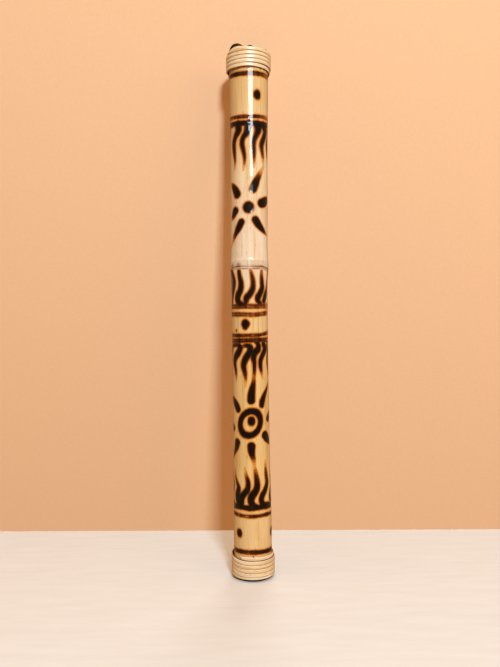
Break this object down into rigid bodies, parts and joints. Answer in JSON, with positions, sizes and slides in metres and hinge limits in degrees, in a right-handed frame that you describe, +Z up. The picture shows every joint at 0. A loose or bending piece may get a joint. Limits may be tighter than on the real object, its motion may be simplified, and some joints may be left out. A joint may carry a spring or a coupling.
{
  "type": "rain stick",
  "caption": "Bamboo rain stick with scorched bands, flames and suns, wound cane at both ends and loose pebbles inside.",
  "frame": {"origin": "centre of the flat underside of the foot head, where the stick stands", "axes": "+Z up the stick from foot to head, -Y the front of the decoration, +X to the right seen from the front"},
  "size_m": [0.0642, 0.0642, 0.7533],
  "materials": {
    "bamboo": "varnished bamboo with scorched decoration",
    "cane": "split cane, natural gloss",
    "rubber": "black sheet rubber, dull",
    "peg_bamboo": "split bamboo, rough",
    "pebble": "water-worn gravel",
    "tack_steel": "darkened steel"
  },
  "bodies": {
    "stick": {"bamboo_culm": "bamboo", "rubber_head_foot": "rubber", "rubber_head_top": "rubber", "cane_binding_foot": "cane", "cane_binding_top": "cane", "binding_tack_top": "tack_steel", "binding_tack_foot": "tack_steel", "peg_01": "peg_bamboo", "peg_02": "peg_bamboo", "peg_03": "peg_bamboo", "peg_04": "peg_bamboo", "peg_05": "peg_bamboo", "peg_06": "peg_bamboo", "peg_07": "peg_bamboo", "peg_08": "peg_bamboo", "peg_09": "peg_bamboo", "peg_10": "peg_bamboo", "peg_11": "peg_bamboo", "peg_12": "peg_bamboo", "peg_13": "peg_bamboo", "peg_14": "peg_bamboo", "peg_15": "peg_bamboo", "peg_16": "peg_bamboo", "peg_17": "peg_bamboo", "peg_18": "peg_bamboo", "peg_19": "peg_bamboo", "peg_20": "peg_bamboo", "peg_21": "peg_bamboo", "peg_22": "peg_bamboo", "peg_23": "peg_bamboo", "peg_24": "peg_bamboo", "peg_25": "peg_bamboo", "peg_26": "peg_bamboo", "peg_27": "peg_bamboo", "peg_28": "peg_bamboo", "peg_29": "peg_bamboo", "peg_30": "peg_bamboo", "peg_31": "peg_bamboo", "peg_32": "peg_bamboo", "peg_33": "peg_bamboo", "peg_34": "peg_bamboo", "peg_35": "peg_bamboo", "peg_36": "peg_bamboo", "peg_37": "peg_bamboo"},
    "pebble_01": {"pebble_01": "pebble"},
    "pebble_02": {"pebble_02": "pebble"},
    "pebble_03": {"pebble_03": "pebble"},
    "pebble_04": {"pebble_04": "pebble"},
    "pebble_05": {"pebble_05": "pebble"},
    "pebble_06": {"pebble_06": "pebble"},
    "pebble_07": {"pebble_07": "pebble"},
    "pebble_08": {"pebble_08": "pebble"},
    "pebble_09": {"pebble_09": "pebble"},
    "pebble_10": {"pebble_10": "pebble"},
    "pebble_11": {"pebble_11": "pebble"},
    "pebble_12": {"pebble_12": "pebble"},
    "pebble_13": {"pebble_13": "pebble"},
    "pebble_14": {"pebble_14": "pebble"},
    "pebble_15": {"pebble_15": "pebble"},
    "pebble_16": {"pebble_16": "pebble"}
  },
  "joints": [
    {"name": "pebble_01_fall", "type": "slide", "parent": "stick", "child": "pebble_01", "axis": [0, 0, 1], "range_m": [0, 0.082]},
    {"name": "pebble_02_fall", "type": "slide", "parent": "stick", "child": "pebble_02", "axis": [0, 0, 1], "range_m": [0, 0.1]},
    {"name": "pebble_03_fall", "type": "slide", "parent": "stick", "child": "pebble_03", "axis": [0, 0, 1], "range_m": [0, 0.188]},
    {"name": "pebble_04_fall", "type": "slide", "parent": "stick", "child": "pebble_04", "axis": [0, 0, 1], "range_m": [0, 0.0465]},
    {"name": "pebble_05_fall", "type": "slide", "parent": "stick", "child": "pebble_05", "axis": [0, 0, 1], "range_m": [0, 0.135]},
    {"name": "pebble_06_fall", "type": "slide", "parent": "stick", "child": "pebble_06", "axis": [0, 0, 1], "range_m": [0, 0.0645]},
    {"name": "pebble_07_fall", "type": "slide", "parent": "stick", "child": "pebble_07", "axis": [0, 0, 1], "range_m": [0, 0.082]},
    {"name": "pebble_08_fall", "type": "slide", "parent": "stick", "child": "pebble_08", "axis": [0, 0, 1], "range_m": [0, 0.1]},
    {"name": "pebble_09_fall", "type": "slide", "parent": "stick", "child": "pebble_09", "axis": [0, 0, 1], "range_m": [0, 0.188]},
    {"name": "pebble_10_fall", "type": "slide", "parent": "stick", "child": "pebble_10", "axis": [0, 0, 1], "range_m": [0, 0.0465]},
    {"name": "pebble_11_fall", "type": "slide", "parent": "stick", "child": "pebble_11", "axis": [0, 0, 1], "range_m": [0, 0.1345]},
    {"name": "pebble_12_fall", "type": "slide", "parent": "stick", "child": "pebble_12", "axis": [0, 0, 1], "range_m": [0, 0.0645]},
    {"name": "pebble_13_fall", "type": "slide", "parent": "stick", "child": "pebble_13", "axis": [0, 0, 1], "range_m": [0, 0.0995]},
    {"name": "pebble_14_fall", "type": "slide", "parent": "stick", "child": "pebble_14", "axis": [0, 0, 1], "range_m": [0, 0.0645]},
    {"name": "pebble_15_fall", "type": "slide", "parent": "stick", "child": "pebble_15", "axis": [0, 0, 1], "range_m": [0, 0.0995]},
    {"name": "pebble_16_fall", "type": "slide", "parent": "stick", "child": "pebble_16", "axis": [0, 0, 1], "range_m": [0, 0.0645]}
  ]
}
